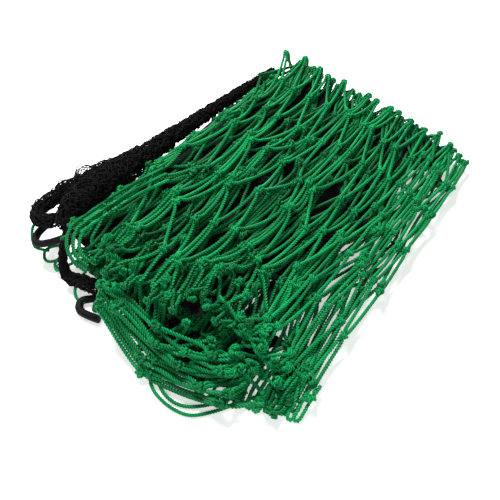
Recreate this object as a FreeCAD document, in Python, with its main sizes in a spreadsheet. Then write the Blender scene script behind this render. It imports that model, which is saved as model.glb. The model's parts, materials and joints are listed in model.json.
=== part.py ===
"""Folded knotted net: a green twine net lined with fine black mesh and edged with black rope.

The net lies on the ground as a folded stack. The twine netting is shown as its pleats, each a simple
closed solid: the top pleat turns over on the far fold, the middle pleat turns over on the near fold,
and the rest is the base that lies still. Millimetres, +Z up, origin under the middle of the stack.

Two frames are used. The ground frame has its origin on the ground under the near left corner of the
top pleat. The tilted frame has its origin at that corner itself, and leans down to the right, because
the stack is thicker on the left. Both are shifted by the same amount so that the whole part is centred.
"""
import FreeCAD, Part
import math
import os

import Sketcher

V = FreeCAD.Vector

DIMENSIONS = [
    ("pleat_length", 296.0, "straight length of a pleat, near fold to far fold"),
    ("stack_width", 205.0, "width of the top pleat across its strands"),
    ("middle_left", 2.0, "how far the middle pleat's left side stays inside the top pleat's"),
    ("middle_edge", 4.9, "height of the middle pleat's lower right edge over the ground"),
    ("lower_edge", 4.9, "height of the lower pleat's right side"),
    ("bottom_edge", 1.2, "height of the bottom pleat's right side"),
    ("corner_height", 58.0, "height of the near left corner of the top pleat"),
    ("tilt_angle", 10.0, "lean of the stack, down to the right, degrees"),
    ("top_thickness", 11.0, "thickness of the top pleat"),
    ("liner_thickness", 4.0, "thickness of the black liner between the pleats"),
    ("middle_thickness", 11.5, "thickness of the middle pleat"),
    ("lower_thickness", 11.5, "thickness of the lower pleat at its left side"),
    ("layer_gap", 0.5, "clearance between layers"),
    ("near_overhang", 5.0, "how far the moving pleats pass the near left corner"),
    ("far_overhang", 13.5, "how far the moving pleats pass the far corner"),
    ("liner_inset", 3.0, "how far the liner sheet stays inside the pleats"),
    ("end_round", 5.0, "rounding of the moving pleats' ends"),
    ("liner_round", 1.8, "rounding of the liner sheet's ends"),
    ("base_far_overhang", 10.0, "how far the base pleats pass the far corner"),
    ("base_round", 3.0, "rounding of the base pleats' ends"),
    ("swag_reach", 38.5, "how far the loose near swag reaches out from the corner"),
    ("swag_start", 6.5, "distance from the corner to the swag's inner face"),
    ("swag_centre", 108.0, "middle of the swag across the stack"),
    ("swag_plan_radius", 92.5, "radius of the swag's outline seen from above"),
    ("fold_offset", 1.5, "near fold axis beyond the swag's nose"),
    ("bunch_start", 24.0, "near end of the side bunch"),
    ("bunch_length", 266.0, "length of the side bunch"),
    ("bunch_width", 50.5, "width of the side bunch on the ground"),
    ("bunch_drop", 34.0, "how far the side bunch's top lies under the near left corner"),
    ("side_gap", 1.5, "clearance between the side bunch and the base pleats"),
    ("left_reach", 61.8, "how far the outer liner roll reaches to the left"),
    ("outer_roll_radius", 6.0, "radius of the outer liner roll"),
    ("corner_roll_radius", 5.5, "radius of the liner roll at the corner"),
    ("rope_diameter", 6.0, "border rope"),
]

# Middle line of the tapered liner roll on the left side: x and y in the ground frame, height over the
# side bunch that it lies on, and radius.
SIDE_ROLL = [
    (-15.0, 284.0, 17.0, 5.5),
    (-21.0, 205.0, 17.5, 6.5),
    (-24.0, 150.0, 16.5, 8.0),
    (-25.0, 100.0, 16.5, 10.0),
    (-25.0, 60.0, 16.5, 13.5),
    (-24.0, 24.0, 16.0, 13.5),
]

# The outer liner roll leaves the side roll, turns back at the near end and meets it again. Heights are
# over the side bunch.
OUTER_ROLL = [
    (-43.0, 112.0, 10.0),
    (-47.0, 84.0, 9.0),
    (-52.0, 52.0, 10.0),
    (-56.0, 24.0, 10.0),
    (-54.0, 4.0, 9.5),
    (-41.0, 0.5, 9.0),
    (-31.0, 11.0, 10.0),
]

# The liner roll that comes over the near left corner and runs under the near fold. Heights are shares
# of the corner's height.
CORNER_ROLL = [
    (-11.0, 14.0, 0.69),
    (-11.0, 0.0, 0.535),
    (-8.0, -9.5, 0.33),
    (0.0, -12.5, 0.155),
    (14.0, -8.5, 0.18),
    (28.0, -6.6, 0.233),
]

# Border rope: up out of the side bunch, along the roll, round the tight bight at the near end, and
# back along the bunch's shoulder.
ROPE_SIDE = [
    (-8.0, 252.0, 25.0),
    (-9.0, 234.0, 33.0),
    (-10.0, 206.0, 39.0),
    (-9.0, 168.0, 38.0),
    (-8.5, 130.0, 34.0),
    (-7.0, 94.0, 32.0),
    (-7.5, 60.0, 30.5),
    (-9.0, 34.0, 29.5),
    (-15.0, 15.0, 26.0),
    (-25.0, 0.0, 22.5),
    (-36.0, -10.5, 20.5),
    (-45.0, -4.0, 20.5),
    (-46.5, 12.0, 21.5),
    (-45.5, 32.0, 22.5),
    (-44.0, 60.0, 22.0),
    (-42.0, 86.0, 21.5),
    (-38.0, 104.0, 21.5),
]

# Border rope: the bight that lies on the ground at the near left, from the base pleats to the swag.
ROPE_NEAR = [
    (37.0, -3.2, 4.0),
    (32.0, -7.5, 3.8),
    (25.0, -13.0, 3.3),
    (19.5, -19.0, 3.2),
    (25.5, -25.5, 3.2),
    (35.5, -24.0, 3.3),
    (44.0, -21.5, 3.5),
]

ROPE_BEND = 0.45


def make_sheet(doc):
    """The spreadsheet that drives every size."""
    sheet = doc.addObject("Spreadsheet::Sheet", "Sizes")
    for row, (alias, value, note) in enumerate(DIMENSIONS, start=1):
        sheet.set("A%d" % row, alias)
        sheet.set("B%d" % row, str(value))
        sheet.setAlias("B%d" % row, alias)
        sheet.set("C%d" % row, note)
    doc.recompute()
    return sheet


def shift_x():
    return "-(Sizes.stack_width * cos(Sizes.tilt_angle * 1 deg) - Sizes.left_reach) / 2"


def shift_y():
    return "-(Sizes.pleat_length + Sizes.far_overhang - Sizes.swag_reach) / 2"


def place_on_ground(piece):
    """Put a piece that is modelled in the ground frame in its place."""
    piece.setExpression("Placement.Base.x", "(%s) * 1 mm" % shift_x())
    piece.setExpression("Placement.Base.y", "(%s) * 1 mm" % shift_y())


def place_tilted(piece):
    """Put a piece that is modelled in the tilted frame in its place."""
    piece.Placement = FreeCAD.Placement(V(0, 0, 0), FreeCAD.Rotation(V(0, 1, 0), 10))
    place_on_ground(piece)
    piece.setExpression("Placement.Base.z", "Sizes.corner_height * 1 mm")
    piece.setExpression("Placement.Rotation.Angle", "Sizes.tilt_angle * 1 deg")


def origin_plane(body, role):
    for feature in body.Origin.OriginFeatures:
        if feature.Role == role:
            return feature
    raise RuntimeError("no plane " + role)


def outline(body, name, role, corners):
    """A closed sketch of straight sides. Each corner is a pair of expressions, across and up."""
    sketch = body.newObject("Sketcher::SketchObject", name)
    sketch.AttachmentSupport = [(origin_plane(body, role), "")]
    sketch.MapMode = "FlatFace"
    count = len(corners)
    # A regular polygon to begin with, so that the solver starts from a sound shape.
    start = [V(50 * math.cos(2 * math.pi * i / count), 50 * math.sin(2 * math.pi * i / count), 0)
             for i in range(count)]
    for i in range(count):
        sketch.addGeometry(Part.LineSegment(start[i], start[(i + 1) % count]), False)
    for i in range(count):
        sketch.addConstraint(Sketcher.Constraint("Coincident", i, 2, (i + 1) % count, 1))
    for i, (across, up) in enumerate(corners):
        first = sketch.addConstraint(Sketcher.Constraint("DistanceX", -1, 1, i, 1, start[i].x))
        sketch.setExpression("Constraints[%d]" % first, across)
        second = sketch.addConstraint(Sketcher.Constraint("DistanceY", -1, 1, i, 1, start[i].y))
        sketch.setExpression("Constraints[%d]" % second, up)
    return sketch


def pad(body, sketch, length, name):
    feature = body.newObject("PartDesign::Pad", name)
    feature.Profile = sketch
    feature.setExpression("Length", length)
    return feature


def round_edges(doc, body, base, direction, radius, name):
    """Round the long edges of a pad that run along one direction."""
    doc.recompute()
    chosen = []
    for number, edge in enumerate(base.Shape.Edges, start=1):
        along = (edge.Vertexes[-1].Point - edge.Vertexes[0].Point).normalize()
        if abs(abs(along.dot(direction)) - 1) < 1e-6:
            chosen.append("Edge%d" % number)
    feature = body.newObject("PartDesign::Fillet", name)
    feature.Base = (base, chosen)
    feature.setExpression("Radius", radius)
    return feature


def moving_pleat(doc, label, left, width, near, far, top, thickness, radius):
    """A flat pleat in the tilted frame: a section in its YZ plane, padded across the stack."""
    body = doc.addObject("PartDesign::Body", label)
    body.Label = label
    section = outline(body, label + "_section", "YZ_Plane", [
        ("-(%s)" % near, "-(%s) - (%s)" % (top, thickness)),
        (far, "-(%s) - (%s)" % (top, thickness)),
        (far, "-(%s)" % top),
        ("-(%s)" % near, "-(%s)" % top),
    ])
    section.setExpression(".AttachmentOffset.Base.z", "(%s) * 1 mm" % left)
    slab = pad(body, section, width, label + "_slab")
    round_edges(doc, body, slab, V(1, 0, 0), radius, label + "_round")
    place_tilted(body)
    return body


def top_pleat(doc):
    return moving_pleat(doc, "net_top_pleat", "0", "Sizes.stack_width", "Sizes.near_overhang",
                        "Sizes.pleat_length + Sizes.far_overhang", "0", "Sizes.top_thickness",
                        "Sizes.end_round")


def liner_sheet(doc):
    far = "Sizes.pleat_length + Sizes.far_overhang - Sizes.liner_inset"
    return moving_pleat(doc, "liner_inner_sheet", "Sizes.middle_left + Sizes.liner_inset",
                        middle_width() + " - 2 * Sizes.liner_inset",
                        "Sizes.near_overhang - Sizes.liner_inset", far,
                        "Sizes.top_thickness + Sizes.layer_gap", "Sizes.liner_thickness",
                        "Sizes.liner_round")


def middle_top():
    return "Sizes.top_thickness + Sizes.liner_thickness + 2 * Sizes.layer_gap"


def middle_width():
    """From the middle pleat's left side to where its underside comes down near the ground."""
    return ("(Sizes.corner_height - Sizes.middle_edge - (%s + Sizes.middle_thickness) "
            "* cos(Sizes.tilt_angle * 1 deg)) / sin(Sizes.tilt_angle * 1 deg) "
            "- Sizes.middle_left" % middle_top())


def base_top():
    return middle_top() + " + Sizes.middle_thickness + Sizes.layer_gap"


def middle_pleat(doc):
    return moving_pleat(doc, "net_middle_pleat", "Sizes.middle_left", middle_width(),
                        "Sizes.near_overhang", "Sizes.pleat_length + Sizes.far_overhang",
                        middle_top(), "Sizes.middle_thickness", "Sizes.end_round")


def height_under(depth, across):
    """Ground frame height of the tilted plane at a depth under the top, at a place across."""
    return ("Sizes.corner_height - (%s) / cos(Sizes.tilt_angle * 1 deg) "
            "- (%s) * tan(Sizes.tilt_angle * 1 deg)" % (depth, across))


def place_across(depth, height):
    """Ground frame place across where the tilted plane at that depth comes down to a height."""
    return ("(Sizes.corner_height - (%s) - (%s) / cos(Sizes.tilt_angle * 1 deg)) "
            "/ tan(Sizes.tilt_angle * 1 deg)" % (height, depth))


def base_pleat(doc, label, corners):
    """A pleat of the base: a section in the XZ plane, padded from the corner to the far fold."""
    body = doc.addObject("PartDesign::Body", label)
    body.Label = label
    section = outline(body, label + "_section", "XZ_Plane", corners)
    slab = pad(body, section, "Sizes.pleat_length + Sizes.base_far_overhang", label + "_slab")
    slab.Reversed = True
    place_on_ground(body)
    return body


def lower_pleat(doc):
    """It follows the lean of the stack on top and lies on the ground at its right."""
    under = base_top() + " + Sizes.lower_thickness"
    right = place_across(base_top(), "Sizes.lower_edge")
    return base_pleat(doc, "net_lower_pleat", [
        ("0", height_under(under, "0")),
        (place_across(under, "0"), "0"),
        (right, "0"),
        (right, "Sizes.lower_edge"),
        ("0", height_under(base_top(), "0")),
    ])


def bottom_pleat(doc):
    """The wedge that fills the thick left side down to the ground."""
    under = base_top() + " + Sizes.lower_thickness + Sizes.layer_gap"
    right = place_across(under, "Sizes.bottom_edge")
    return base_pleat(doc, "net_bottom_pleat", [
        ("0", "0"),
        (right, "0"),
        (right, "Sizes.bottom_edge"),
        ("0", height_under(under, "0")),
    ])


def near_axis_depth():
    """Depth of the near fold's axis: the middle of the gap under the middle pleat."""
    return middle_top() + " + Sizes.middle_thickness + Sizes.layer_gap / 2"


def near_swag(doc):
    """Loose twine that hangs out of the near fold: a sloping bank with a round outline from above."""
    axis = near_axis_depth()
    nose = "-Sizes.swag_reach"
    back = "-Sizes.swag_start"
    bank = doc.addObject("PartDesign::Body", "swag_bank")
    section = outline(bank, "swag_section", "YZ_Plane", [
        (nose, "-(%s) - 60" % axis),
        (back, "-(%s) - 60" % axis),
        (back, "-(%s) + 3" % axis),
        (back + " - 6.5", "-(%s) + 15" % axis),
        (back + " - 15", "-(%s) + 10" % axis),
        (nose, "-(%s) - 6" % axis),
    ])
    pad(bank, section, "Sizes.stack_width", "swag_slab")
    place_tilted(bank)
    plan = doc.addObject("Part::Cylinder", "swag_plan")
    plan.setExpression("Radius", "Sizes.swag_plan_radius")
    plan.setExpression("Height", "Sizes.corner_height")
    plan.setExpression("Placement.Base.x", "(%s + Sizes.swag_centre) * 1 mm" % shift_x())
    plan.setExpression("Placement.Base.y",
                       "(%s - Sizes.swag_reach + Sizes.swag_plan_radius) * 1 mm" % shift_y())
    swag = doc.addObject("Part::MultiCommon", "net_near_swag")
    swag.Shapes = [bank, plan]
    return swag


def bunch_top():
    return "(Sizes.corner_height - Sizes.bunch_drop)"


def side_bunch(doc):
    """The bunched edge of the netting on the left, under the liner rolls."""
    body = doc.addObject("PartDesign::Body", "net_side_bunch")
    left = "-(Sizes.side_gap + Sizes.bunch_width)"
    section = outline(body, "bunch_section", "XZ_Plane", [
        (left, "0"),
        ("-Sizes.side_gap", "0"),
        ("-Sizes.side_gap", bunch_top()),
        (left + " + 0.42 * Sizes.bunch_width", bunch_top()),
        (left + " + 0.12 * Sizes.bunch_width", bunch_top() + " * 0.66"),
        (left, bunch_top() + " * 0.3"),
    ])
    section.setExpression(".AttachmentOffset.Base.z", "-Sizes.bunch_start * 1 mm")
    slab = pad(body, section, "Sizes.bunch_length", "bunch_slab")
    slab.Reversed = True
    place_on_ground(body)
    return body


def side_roll(doc):
    """The tapered roll of black liner along the left side, through round sections."""
    sections = []
    for i, (x, y, z, radius) in enumerate(SIDE_ROLL):
        ring = doc.addObject("Part::Circle", "side_roll_ring_%d" % i)
        ring.Radius = radius
        ring.Placement = FreeCAD.Placement(V(x, y, 0), FreeCAD.Rotation(V(1, 0, 0), 90))
        ring.setExpression("Placement.Base.z", "(%s + %s) * 1 mm" % (bunch_top(), z))
        sections.append(ring)
    roll = doc.addObject("Part::Loft", "liner_side_roll")
    roll.Sections = sections
    roll.Solid = True
    roll.Ruled = True
    place_on_ground(roll)
    return roll


def smooth_path(points):
    """Straight runs joined by tangent arcs. Returns the wire and the radius of each arc."""
    stops = [V(*p) for p in points]
    edges = []
    radii = []
    start = stops[0]
    for before, corner, after in zip(stops, stops[1:], stops[2:]):
        back = (before - corner)
        ahead = (after - corner)
        run = min(back.Length, ahead.Length)
        back.normalize()
        ahead.normalize()
        half_turn = (math.pi - back.getAngle(ahead)) / 2
        cut = ROPE_BEND * run
        radii.append(cut / math.tan(half_turn))
        first = corner + back * cut
        last = corner + ahead * cut
        inward = (back + ahead).normalize()
        middle = corner + inward * (radii[-1] / math.cos(half_turn) - radii[-1])
        edges.append(Part.LineSegment(start, first).toShape())
        edges.append(Part.Arc(first, middle, last).toShape())
        start = last
    edges.append(Part.LineSegment(start, stops[-1]).toShape())
    return Part.Wire(edges), radii


def tube(doc, label, points, radius):
    """A round tube along a smooth path, in the ground frame."""
    path, radii = smooth_path(points)
    first = V(*points[0])
    direction = V(*points[1]) - first
    ring = Part.Wire(Part.Circle(first, direction, radius).toShape())
    solid = path.makePipeShell([ring], True, False)
    piece = doc.addObject("Part::Feature", label)
    piece.Shape = solid
    place_on_ground(piece)
    expected = math.pi * radius ** 2 * path.Length
    print("%s: length %.0f mm, volume %.3f of section x length, radii %s"
          % (label, path.Length, solid.Volume / expected, [round(r, 1) for r in radii]))
    return piece


def check(doc, pieces):
    for thing in doc.Objects:
        if "Invalid" in thing.State or "Error" in thing.State:
            raise RuntimeError("%s did not compute: %s" % (thing.Label, thing.State))
    for piece in pieces:
        if piece.Shape.isNull() or not piece.Shape.isValid() or piece.Shape.Volume <= 0:
            raise RuntimeError("%s has no sound solid" % piece.Label)


def main():
    doc = FreeCAD.newDocument("folded_net")
    sheet = make_sheet(doc)
    rope_radius = float(sheet.rope_diameter) / 2
    corner = float(sheet.corner_height)
    bunch = corner - float(sheet.bunch_drop)
    outer_route = [(x, y, bunch + over) for x, y, over in OUTER_ROLL]
    corner_route = [(x, y, corner * share) for x, y, share in CORNER_ROLL]
    pieces = [
        top_pleat(doc),
        liner_sheet(doc),
        middle_pleat(doc),
        lower_pleat(doc),
        bottom_pleat(doc),
        near_swag(doc),
        side_bunch(doc),
        side_roll(doc),
        tube(doc, "liner_outer_roll", outer_route, float(sheet.outer_roll_radius)),
        tube(doc, "liner_corner_roll", corner_route, float(sheet.corner_roll_radius)),
        tube(doc, "border_rope_side", ROPE_SIDE, rope_radius),
        tube(doc, "border_rope_near", ROPE_NEAR, rope_radius),
    ]
    doc.recompute()
    check(doc, pieces)
    os.makedirs("parts", exist_ok=True)
    for piece in pieces:
        piece.Shape.exportStep(os.path.join("parts", piece.Label + ".step"))
        box = piece.Shape.BoundBox
        print("%-20s %8.1f cm3  x %7.1f %7.1f  y %7.1f %7.1f  z %6.1f %6.1f" % (
            piece.Label, piece.Shape.Volume / 1000, box.XMin, box.XMax, box.YMin, box.YMax,
            box.ZMin, box.ZMax))


main()
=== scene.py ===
"""The looks of the folded cargo net: knotted green twine, black mesh liner and black border rope.

Lengths are millimetres in numpy arrays in the CAD frame, and become metres when a mesh is made. Two
frames are used, as in the CAD part. The ground frame has its origin on the ground under the near left
corner of the top pleat. The tilted frame has its origin at that corner and leans down to the right.
In the tilted frame x is across the strands, y along them from the near fold to the far fold, and z is
the depth, 0 at the top of the stack and negative below.
"""
import json
import math

import bpy
import numpy as np
from mathutils import Matrix, Vector


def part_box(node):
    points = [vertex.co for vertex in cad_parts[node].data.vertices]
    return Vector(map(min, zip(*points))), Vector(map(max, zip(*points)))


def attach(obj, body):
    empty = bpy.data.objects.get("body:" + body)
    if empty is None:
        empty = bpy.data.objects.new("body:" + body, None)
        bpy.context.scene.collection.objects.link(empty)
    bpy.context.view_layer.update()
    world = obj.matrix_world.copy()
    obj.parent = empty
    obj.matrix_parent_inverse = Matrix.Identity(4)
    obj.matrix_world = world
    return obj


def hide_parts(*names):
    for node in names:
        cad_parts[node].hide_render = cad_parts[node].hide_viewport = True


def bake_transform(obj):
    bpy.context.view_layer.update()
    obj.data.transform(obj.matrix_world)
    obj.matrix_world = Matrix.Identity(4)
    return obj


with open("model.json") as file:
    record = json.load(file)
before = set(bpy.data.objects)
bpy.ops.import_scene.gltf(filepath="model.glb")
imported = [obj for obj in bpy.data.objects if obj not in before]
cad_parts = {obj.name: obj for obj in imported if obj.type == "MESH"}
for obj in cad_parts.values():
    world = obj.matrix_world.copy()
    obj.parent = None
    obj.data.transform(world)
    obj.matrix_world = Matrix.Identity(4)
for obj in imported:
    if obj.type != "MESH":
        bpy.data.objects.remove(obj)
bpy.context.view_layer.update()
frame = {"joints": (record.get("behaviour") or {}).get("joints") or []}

MM = 0.001
TWINE = 3.0            # thickness of the green twine
BAR = 46.5             # one bar of the mesh, from knot middle to knot middle
BAR_PARTS = 12         # straight parts of a bar while the net settles
PASS_ROWS = 7          # rows of mesh in one pass of a pleat, near fold to far fold
LAY = 6.6              # length of one full turn of the twine's strands
ROPE = 6.0             # thickness of the border rope

# --- Places taken from the frame ---

near_joint = frame["joints"][0]
tilt = math.atan2(-near_joint["axis"][2], near_joint["axis"][0])
ACROSS = np.array([math.cos(tilt), 0.0, -math.sin(tilt)])
ALONG = np.array([0.0, 1.0, 0.0])
NORMAL = np.array([math.sin(tilt), 0.0, math.cos(tilt)])


def node_box(name):
    """Lowest and highest corner of a CAD node, in millimetres."""
    low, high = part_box(name)
    return np.array(low) / MM, np.array(high) / MM


top_low, top_high = node_box("net_top_pleat")
lower_low = node_box("net_lower_pleat")[0]
CORNER = np.array([lower_low[0], lower_low[1], top_high[2]])
GROUND = np.array([lower_low[0], lower_low[1], 0.0])
STACK_WIDTH = (top_high[0] - CORNER[0]) / math.cos(tilt)
NEAR_END = top_low[1] - CORNER[1]
FAR_END = top_high[1] - CORNER[1]
MIDDLE_WIDTH = (node_box("net_middle_pleat")[1][0] - CORNER[0]) / math.cos(tilt)


def tilted(across, along, depth):
    """Part frame place of points given in the tilted frame."""
    shape = np.broadcast(across, along, depth).shape
    across, along, depth = (np.broadcast_to(v, shape)[..., None] for v in (across, along, depth))
    return CORNER + across * ACROSS + along * ALONG + depth * NORMAL


def to_tilted(points):
    away = points - CORNER
    return np.stack([away @ ACROSS, away @ ALONG, away @ NORMAL], axis=-1)


def ground(points):
    """Part frame place of points given in the ground frame."""
    return np.asarray(points, float) + GROUND


def ground_at(x, y, z):
    return ground(np.stack([x, y, z], axis=-1))


def smooth(value):
    value = np.clip(value, 0.0, 1.0)
    return value * value * (3 - 2 * value)


def unit(vectors):
    return vectors / np.maximum(np.linalg.norm(vectors, axis=-1, keepdims=True), 1e-9)


def ripple(x, y, seed, size):
    """Smooth seeded noise, mostly within -1 to 1, with bumps of about the given size."""
    draw = np.random.default_rng(seed)
    total = 0.0
    for _ in range(6):
        turn, phase, scale = draw.uniform(0, 2 * math.pi, 3)
        wave = math.pi / (size * (0.6 + 0.15 * scale))
        total = total + np.sin((x * math.cos(turn) + y * math.sin(turn)) * wave + phase)
    return total / 2.4


# --- Netting: layout ---


class Netting:
    """Knots and the bars between them, held as points that settle together."""

    def __init__(self):
        self.points = np.zeros((0, 3))
        self.low = np.zeros((0, 3))
        self.high = np.zeros((0, 3))
        self.bars = []
        self.bar_piece = []
        self.bar_side = []     # 1 where a bar leans to the right as it runs, -1 to the left
        self.bar_least = []
        self.knots = []
        self.knot_piece = []

    def add_points(self, points, low, high):
        first = len(self.points)
        self.points = np.concatenate([self.points, points])
        self.low = np.concatenate([self.low, np.broadcast_to(low, points.shape)])
        self.high = np.concatenate([self.high, np.broadcast_to(high, points.shape)])
        return np.arange(first, first + len(points))

    def add_strip(self, place, limits, piece_of, rows, columns, draw, closed=False, spread=0.3, least=0.9):
        """Adds a strip of diamond mesh. place(row, column) gives part frame points, limits(points) the
        tilted frame box that each point keeps to, piece_of(row) the piece of a row or bar, and least
        the shortest that a bar may be, as a share of BAR."""
        last = rows if closed else rows + 1
        row = np.repeat(np.arange(last), columns).astype(float)
        column = np.tile(np.arange(columns), last) + 0.25 + 0.5 * (row % 2)
        row = row + draw.normal(0, 0.05, len(row))
        column = column + draw.normal(0, spread, len(column))
        points = place(row, column)
        numbers = self.add_points(points, *limits(points)).reshape(last, columns)
        row, column = row.reshape(last, columns), column.reshape(last, columns)
        self.knots.extend(numbers.ravel())
        self.knot_piece.extend(piece_of(k) for k in range(last) for _ in range(columns))
        for k in range(rows):
            after = (k + 1) % last
            lap = rows if after == 0 else 0
            for side in (0, 1):
                # Rows with an odd number sit half a mesh to the right.
                step = side if k % 2 else side - 1
                own = [c for c in range(columns) if 0 <= c + step < columns]
                far = [c + step for c in own]
                share = np.arange(1, BAR_PARTS) / BAR_PARTS
                rows_here = row[k, own][:, None] * (1 - share) + (row[after, far] + lap)[:, None] * share
                columns_here = column[k, own][:, None] * (1 - share) + column[after, far][:, None] * share
                inner = place(rows_here.ravel(), columns_here.ravel())
                inner_numbers = self.add_points(inner, *limits(inner)).reshape(len(own), -1)
                ends = numbers[k, own][:, None], numbers[after, far][:, None]
                bars = np.concatenate([ends[0], inner_numbers, ends[1]], axis=1)
                self.bars.extend(bars)
                self.bar_piece.extend([piece_of(k + 0.5)] * len(own))
                self.bar_side.extend([2 * side - 1] * len(own))
                self.bar_least.extend([least] * len(own))


def fold_line(levels, near, far, closed):
    """A sheet folded back and forth between the near and far fold. Gives the row number, the place
    along and the depth of points on it, PASS_ROWS rows to a pass, with a row on each turn."""
    quarter = np.linspace(0, math.pi / 2, 7)
    row, along, depth = [], [], []
    for i, level in enumerate(levels):
        first, last = i == 0 and not closed, i == len(levels) - 1 and not closed
        start_radius = 0.0 if first else (levels[i - 1] - level) / 2
        end_radius = 0.0 if last else (levels[(i + 1) % len(levels)] - level) / 2
        forward = i % 2 == 0
        start, end, out = (near, far, 1) if forward else (far, near, -1)
        y = np.concatenate([start - out * abs(start_radius) * np.cos(quarter),
                            end + out * abs(end_radius) * np.sin(quarter)])
        z = np.concatenate([level + start_radius * (1 - np.sin(quarter)),
                            level + end_radius * (1 - np.cos(quarter))])
        gone = np.concatenate([[0], np.cumsum(np.hypot(np.diff(y), np.diff(z)))])
        row.append(PASS_ROWS * (i + gone / gone[-1]))
        along.append(y)
        depth.append(z)
    return np.concatenate(row), np.concatenate(along), np.concatenate(depth)


# Depths of the layers in the order in which the sheet runs through the two moving pleats: middle
# pleat's underside, top of the stack, underside of the top pleat, top of the middle pleat, and the
# layers inside each.
LEVELS = [-25.0, -1.5, -8.7, -17.7, -21.2, -5.2]
TOP_DEPTHS = (-10.6, -1.2)
MIDDLE_DEPTHS = (-27.0, -17.0)
BEND_RADIUS = (LEVELS[1] - LEVELS[0]) / 2
FAR_CENTRE = FAR_END - TWINE / 2 - BEND_RADIUS
NEAR_CENTRE = NEAR_END + TWINE / 2 + (LEVELS[1] - LEVELS[2]) / 2
COLUMNS = 14
# Row number against the right edge of the sheet there: wide only where it is in the top pleat.
RIGHT_ROWS = [0, 6.1, 7, 20.5, 22, 34, 36, 42]
RIGHT_EDGE = [MIDDLE_WIDTH - 4, MIDDLE_WIDTH - 4, STACK_WIDTH - 3, STACK_WIDTH - 4, MIDDLE_WIDTH - 4,
              MIDDLE_WIDTH - 6, STACK_WIDTH - 6, STACK_WIDTH - 8]
# How far the rows have slipped at each fold, in rows, so that rows don't lie over each other.
SLIP = [0.2, 0.0, 0.33, -0.15, 0.4, 0.15, 0.35]


def gather_near_corner(across, along, depth):
    """The right of the near fold: its edge draws back, and strands crowd into the corner."""
    near = smooth((85 - along) / 85) * (depth > -13)
    swing = smooth((across - 118) / 45) * (1 - smooth((across - 160) / 50))
    back = np.exp(-((across - 124) / 30) ** 2)
    across = across + 20 * near * swing
    far = smooth((along - 200) / 100) * smooth((across - 150) / 35) * (1 - smooth((across - 188) / 25))
    across = across + 9 * far
    along = along + 22 * near * back
    depth = depth - right_droop(across, along) * (depth > -13)
    return across, along, depth


def right_droop(across, along):
    """How far the top pleat hangs down along its right side, most of all at the near corner."""
    share = smooth((across - 0.70 * STACK_WIDTH) / (0.30 * STACK_WIDTH))
    return share * (6.0 + 7.0 * smooth((120 - along) / 120))


def place_in_stack(row, column):
    """The long folded sheet of the top and middle pleats."""
    rows, along, depth = STACK_LINE
    right = np.interp(row, RIGHT_ROWS, RIGHT_EDGE)
    left = 2.5
    x = left + (right - left) * column / COLUMNS
    # The rows wander, most of all away from the folds, and the outer bend's knots sit high on it.
    from_fold = np.abs((row / PASS_ROWS + 0.5) % 1 - 0.5) * 2
    where = row + np.interp(row, np.arange(len(SLIP)) * PASS_ROWS, SLIP)
    where = where + from_fold * (0.3 * ripple(x, row * 40, 8, 50) + 0.12 * ripple(x, row * 40, 9, 19))
    where = where + 0.26 * np.exp(-((row - PASS_ROWS) / 2.5) ** 2)
    y = np.interp(where, rows, along)
    z = np.interp(where, rows, depth)
    # Strands lie straight and close together in the near half, in open diamonds in the far half.
    closed = 1 - smooth((y - 110) / 130)
    edge = 1 - smooth((np.abs(column / COLUMNS - 0.5) - 0.42) / 0.08)
    x = x + 4.0 * closed * edge * ripple(x, 0.12 * y + 9 * z, 10, 12)
    x = x + 3.0 * (1 - closed) * edge * ripple(x + 3 * z, y, 5, 30)
    # At the near fold's right, strands turn to the left as they pass under.
    hook = smooth((row - 13.3) / 1.3) * (1 - smooth((row - 15.5) / 2.5)) * smooth((x - 95) / 25)
    x = x - 15 * hook
    z = z + 0.7 * ripple(x, y, 12, 15)
    upper = smooth((z + 12) / 4)
    x = x - 13 * upper * smooth((y - 225) / 60) * np.clip(1 - 2 * column / COLUMNS, 0, 1)
    x, y, z = gather_near_corner(x, y, z)
    return tilted(x, y, z)


def stack_limits(points):
    where = to_tilted(points)
    low = np.empty_like(points)
    high = np.empty_like(points)
    droop = right_droop(where[:, 0], where[:, 1])
    top = where[:, 2] > -13.5
    bend = where[:, 1] > FAR_CENTRE - 3
    low[:, 0] = np.where(top & (where[:, 1] > 225), -13.0, 1.0)
    high[:, 0] = STACK_WIDTH + 1
    low[:, 1] = NEAR_END + 1.0
    high[:, 1] = FAR_END + 1.5
    low[:, 2] = np.where(top, TOP_DEPTHS[0], MIDDLE_DEPTHS[0]) - droop
    high[:, 2] = np.where(top, TOP_DEPTHS[1], MIDDLE_DEPTHS[1])
    low[bend, 2] = MIDDLE_DEPTHS[0]
    high[bend, 2] = TOP_DEPTHS[1]
    return low, high


def stack_piece(row):
    """Piece of a row of knots, or of the bars between two rows, in the folded sheet."""
    bends = {PASS_ROWS: "far_bend_outer", 3 * PASS_ROWS: "far_bend_inner", 5 * PASS_ROWS: "far_bend_middle"}
    for turn, name in bends.items():
        if abs(row - turn) < 0.9:
            return name
    part = min(int(row // PASS_ROWS), len(LEVELS) - 1)
    if part == 1:
        return "top_netting"
    if part in (2, 5):
        return "top_netting_inner"
    return "middle_netting"


STACK_LINE = fold_line(LEVELS, NEAR_CENTRE, FAR_CENTRE, closed=False)


def fixed_limits(low, high):
    """Limits that are the same for every point."""
    return lambda points: (np.array(low), np.array(high))


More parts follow.
